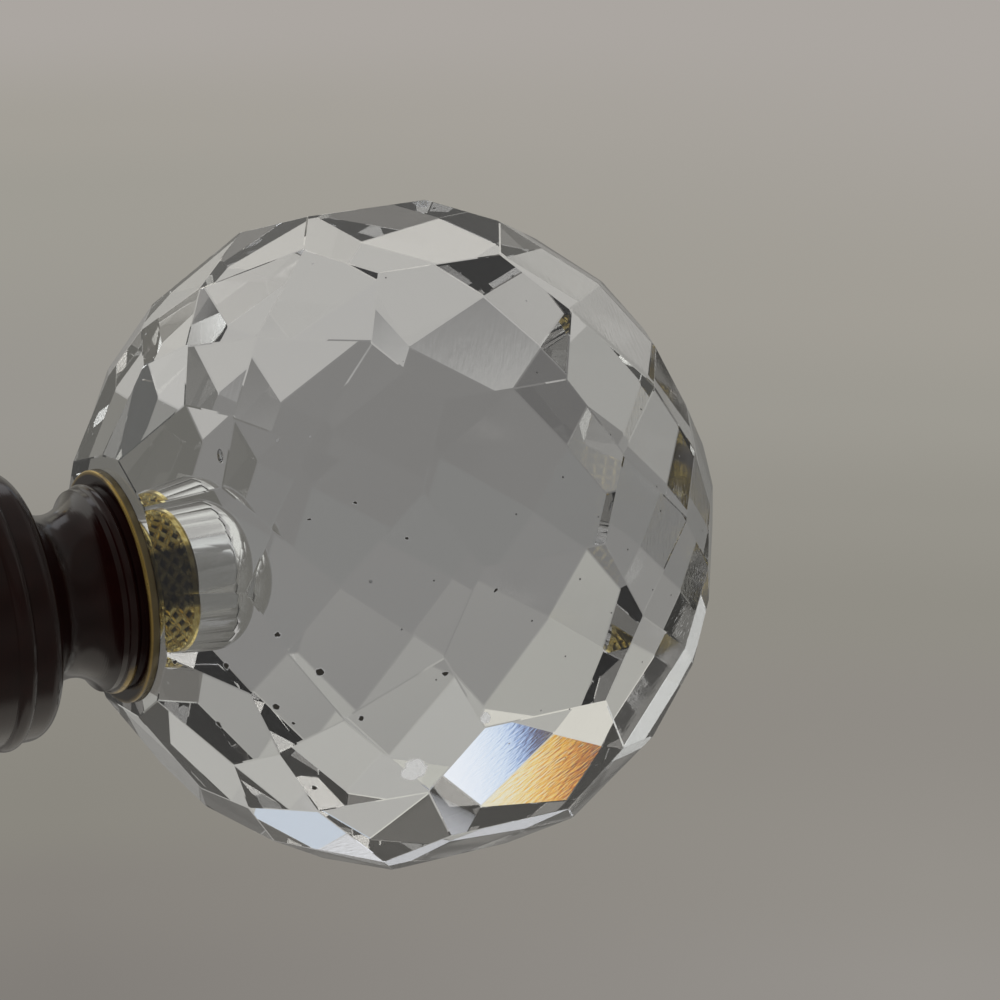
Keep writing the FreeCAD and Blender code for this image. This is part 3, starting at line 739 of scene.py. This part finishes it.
def lacquer():
    """Brushed-on lacquer over turned brass: dark and glossy, bare brass where it is rubbed, and
    bare brass painted as a highlight atop the flange's edge and low on the bead's crest.
    """
    material, tree, place = new_material("bronzed_lacquer")
    parts = add_node(tree, "SeparateXYZ", place).outputs
    radius = turned_radius(tree, parts)
    cloud = add_node(tree, "TexNoise", place, Scale=1 / WEAR_SIZE, Detail=4)

    shares = []
    for ring in (WORN_EDGE, DULLED_RIM, CREST_HIGHLIGHT_RING):
        places, radii = ([size * MM for size in sizes] for sizes in ring)
        inside = (within(tree, parts["X"], *places), within(tree, radius, *radii))
        shares.append(add_node(tree, "Math", *inside, operation="MULTIPLY"))
    edge, rim, crest_highlight = shares
    # Painted highlight: bare brass strongest on the edge's upper part, and on the crest only low
    # down
    painted_highlight_above = add_node(tree, "MapRange", parts["Z"], *EDGE_HIGHLIGHT_HEIGHTS)
    painted_highlight_below = add_node(tree, "MapRange", parts["Z"], *CREST_HIGHLIGHT_HEIGHTS)
    edge = add_node(tree, "Math", edge, painted_highlight_above, operation="MULTIPLY")
    crest_highlight = add_node(tree, "Math", crest_highlight, painted_highlight_below, operation="MULTIPLY")
    crest_highlight = add_node(tree, "Math", crest_highlight, CREST_SHARE, operation="MULTIPLY")
    bare_brass_and_highlight = add_node(tree, "Math", edge, crest_highlight, operation="MAXIMUM")
    uneven = add_node(tree, "MapRange", cloud, *WEAR_OVER)
    bare_brass_and_highlight = add_node(tree, "Math", bare_brass_and_highlight, uneven, operation="MULTIPLY")
    dulled = add_node(tree, "Math", rim, DULLED_SHARE, operation="MULTIPLY")

    colour = add_node(tree, "Mix", cloud, LACQUER_THICK, LACQUER_THIN, data_type="RGBA")
    colour = add_node(tree, "Mix", dulled, colour, DULLED_BRASS, data_type="RGBA")
    colour = add_node(tree, "Mix", bare_brass_and_highlight, colour, BARE_BRASS, data_type="RGBA")
    metallic = add_node(tree, "Math", dulled, DULLED_METALLIC, operation="MULTIPLY")
    metallic = add_node(tree, "Math", bare_brass_and_highlight, metallic, operation="MAXIMUM")
    # Fine rings that the turning tool left, by place along the axis and radius
    rings_at = add_node(tree, "CombineXYZ", parts["X"], radius)
    rings = add_node(tree, "TexNoise", rings_at, Scale=1 / TOOL_RINGS, Detail=3)
    body = add_node(
        tree,
        "BsdfPrincipled",
        Base_Color=colour,
        Metallic=metallic,
        Roughness=add_node(tree, "MapRange", metallic, 0, 1, LACQUER_ROUGH, BRASS_ROUGH),
        IOR=LACQUER_IOR,
        Normal=add_node(tree, "Bump", Distance=TOOL_RING_DEPTH, Height=rings),
    )
    add_node(tree, "OutputMaterial", body)
    return material


turned = spin_profile([(x * MM, radius * MM) for x, radius in profile], SOCKET_STEPS)
socket = new_piece("turned_socket", turned, lacquer())
# The hole for the grub screw, drilled from below the barrel through to the bore
DRILL_SIDES = 48
DRILL_LENGTH = 6
DRILL_MIDDLE = 11
drill = bmesh.new()
bmesh.ops.create_cone(
    drill,
    cap_ends=True,
    segments=DRILL_SIDES,
    radius1=GRUB_HOLE * MM,
    radius2=GRUB_HOLE * MM,
    depth=DRILL_LENGTH * MM,
)
drill_place = Vector((GRUB_FROM_MOUTH - SOCKET_DEPTH, 0, -DRILL_MIDDLE)) * MM
bmesh.ops.translate(drill, vec=drill_place, verts=drill.verts)
cut_out(socket, drill)
replace(socket, "pole_socket")


# Screws: plain turned steel, the solids' own meshes. The cheese-head screw holds the ball on
# the socket, and the grub screw locks the socket on its pole.
# Mild steel, grey with the soft sheen that fine turning leaves
STEEL_LIGHT, STEEL_DARK = "9a9892", "7d7b76"
steel = worn_metal("turned_steel", STEEL_LIGHT, STEEL_DARK, wear_size=0.6, rough=0.32)
for node in ("centre_screw", "grub_screw"):
    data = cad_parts[node].data
    data.materials.clear()
    data.materials.append(steel)
